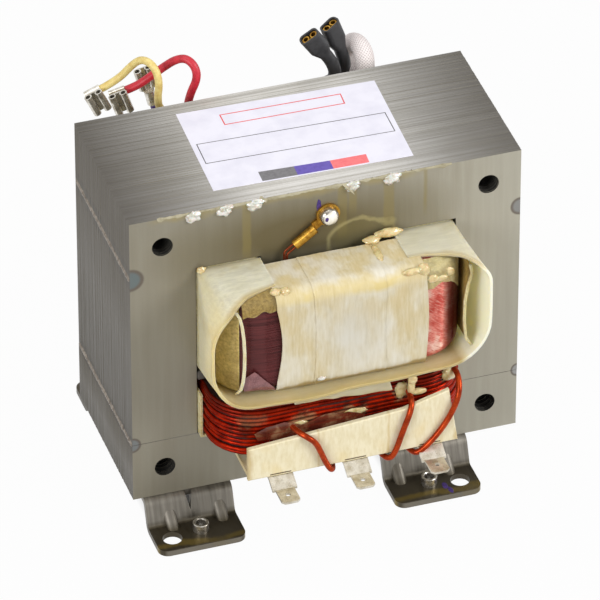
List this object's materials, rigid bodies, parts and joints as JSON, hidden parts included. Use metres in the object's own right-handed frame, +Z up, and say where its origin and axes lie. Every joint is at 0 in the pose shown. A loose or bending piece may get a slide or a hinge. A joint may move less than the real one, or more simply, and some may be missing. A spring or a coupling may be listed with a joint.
{
  "type": "microwave oven transformer",
  "caption": "Microwave-oven transformer: welded lamination core on bent rail feet, paper-collared secondary coil above an enamelled primary, terminal block with push-on tabs, lead wires behind.",
  "frame": {"origin": "centre of the foot-hole pattern, on the plane that the feet stand on", "axes": "+Z up, +X to the right across the core's width, -Y towards the terminal block and tabs"},
  "size_m": [0.1345, 0.1247, 0.1352],
  "materials": {
    "core_steel": "varnished electrical steel, sheet edges on the sides and top",
    "weld": "heat-tinted weld bead",
    "rail_steel": "bare strip steel with brown varnish stain",
    "nut_steel": "zinc plated",
    "primary_wire": "orange-red enamelled copper",
    "secondary_wire": "dark red enamelled copper, fine",
    "shunt_steel": "sheet edges",
    "paper": "varnished cream insulating paper",
    "block_board": "cream, varnish stained",
    "tinned_tab": "tin plated brass",
    "screw_steel": "plated, daubed with white lacquer",
    "brass": "bare",
    "red_silicone": "satin",
    "yellow_silicone": "satin",
    "violet_silicone": "satin",
    "black_shrink": "satin",
    "white_braid": "braided glass-fibre sleeve"
  },
  "bodies": {
    "root": {"e_core": "core_steel", "i_core": "core_steel", "weld_beads_left": "weld", "weld_beads_right": "weld", "base_rail_left": "rail_steel", "base_rail_right": "rail_steel", "foot_nuts_left": "nut_steel", "foot_nuts_right": "nut_steel", "primary_coil": "primary_wire", "primary_lead_left": "primary_wire", "primary_lead_middle": "primary_wire", "primary_lead_right": "primary_wire", "secondary_coil": "secondary_wire", "earth_lead": "secondary_wire", "shunt_left": "shunt_steel", "shunt_right": "shunt_steel", "primary_liner_left": "paper", "primary_liner_right": "paper", "secondary_liner_left": "paper", "secondary_liner_right": "paper", "collar_front": "paper", "collar_back": "paper", "coil_wrap_left": "paper", "coil_wrap_right": "paper", "tape_band_front": "paper", "tape_band_back": "paper", "terminal_block": "block_board", "tab_left": "tinned_tab", "tab_middle": "tinned_tab", "tab_right": "tinned_tab", "red_receptacle": "tinned_tab", "yellow_receptacle": "tinned_tab", "spare_receptacle": "tinned_tab", "earth_screw": "screw_steel", "ring_terminal": "brass", "boot_receptacle_left": "brass", "boot_receptacle_right": "brass", "red_lead": "red_silicone", "yellow_lead": "yellow_silicone", "spare_lead": "violet_silicone", "black_lead_left": "black_shrink", "black_lead_right": "black_shrink", "boot_left": "black_shrink", "boot_right": "black_shrink", "white_sleeve": "white_braid"}
  },
  "joints": []
}
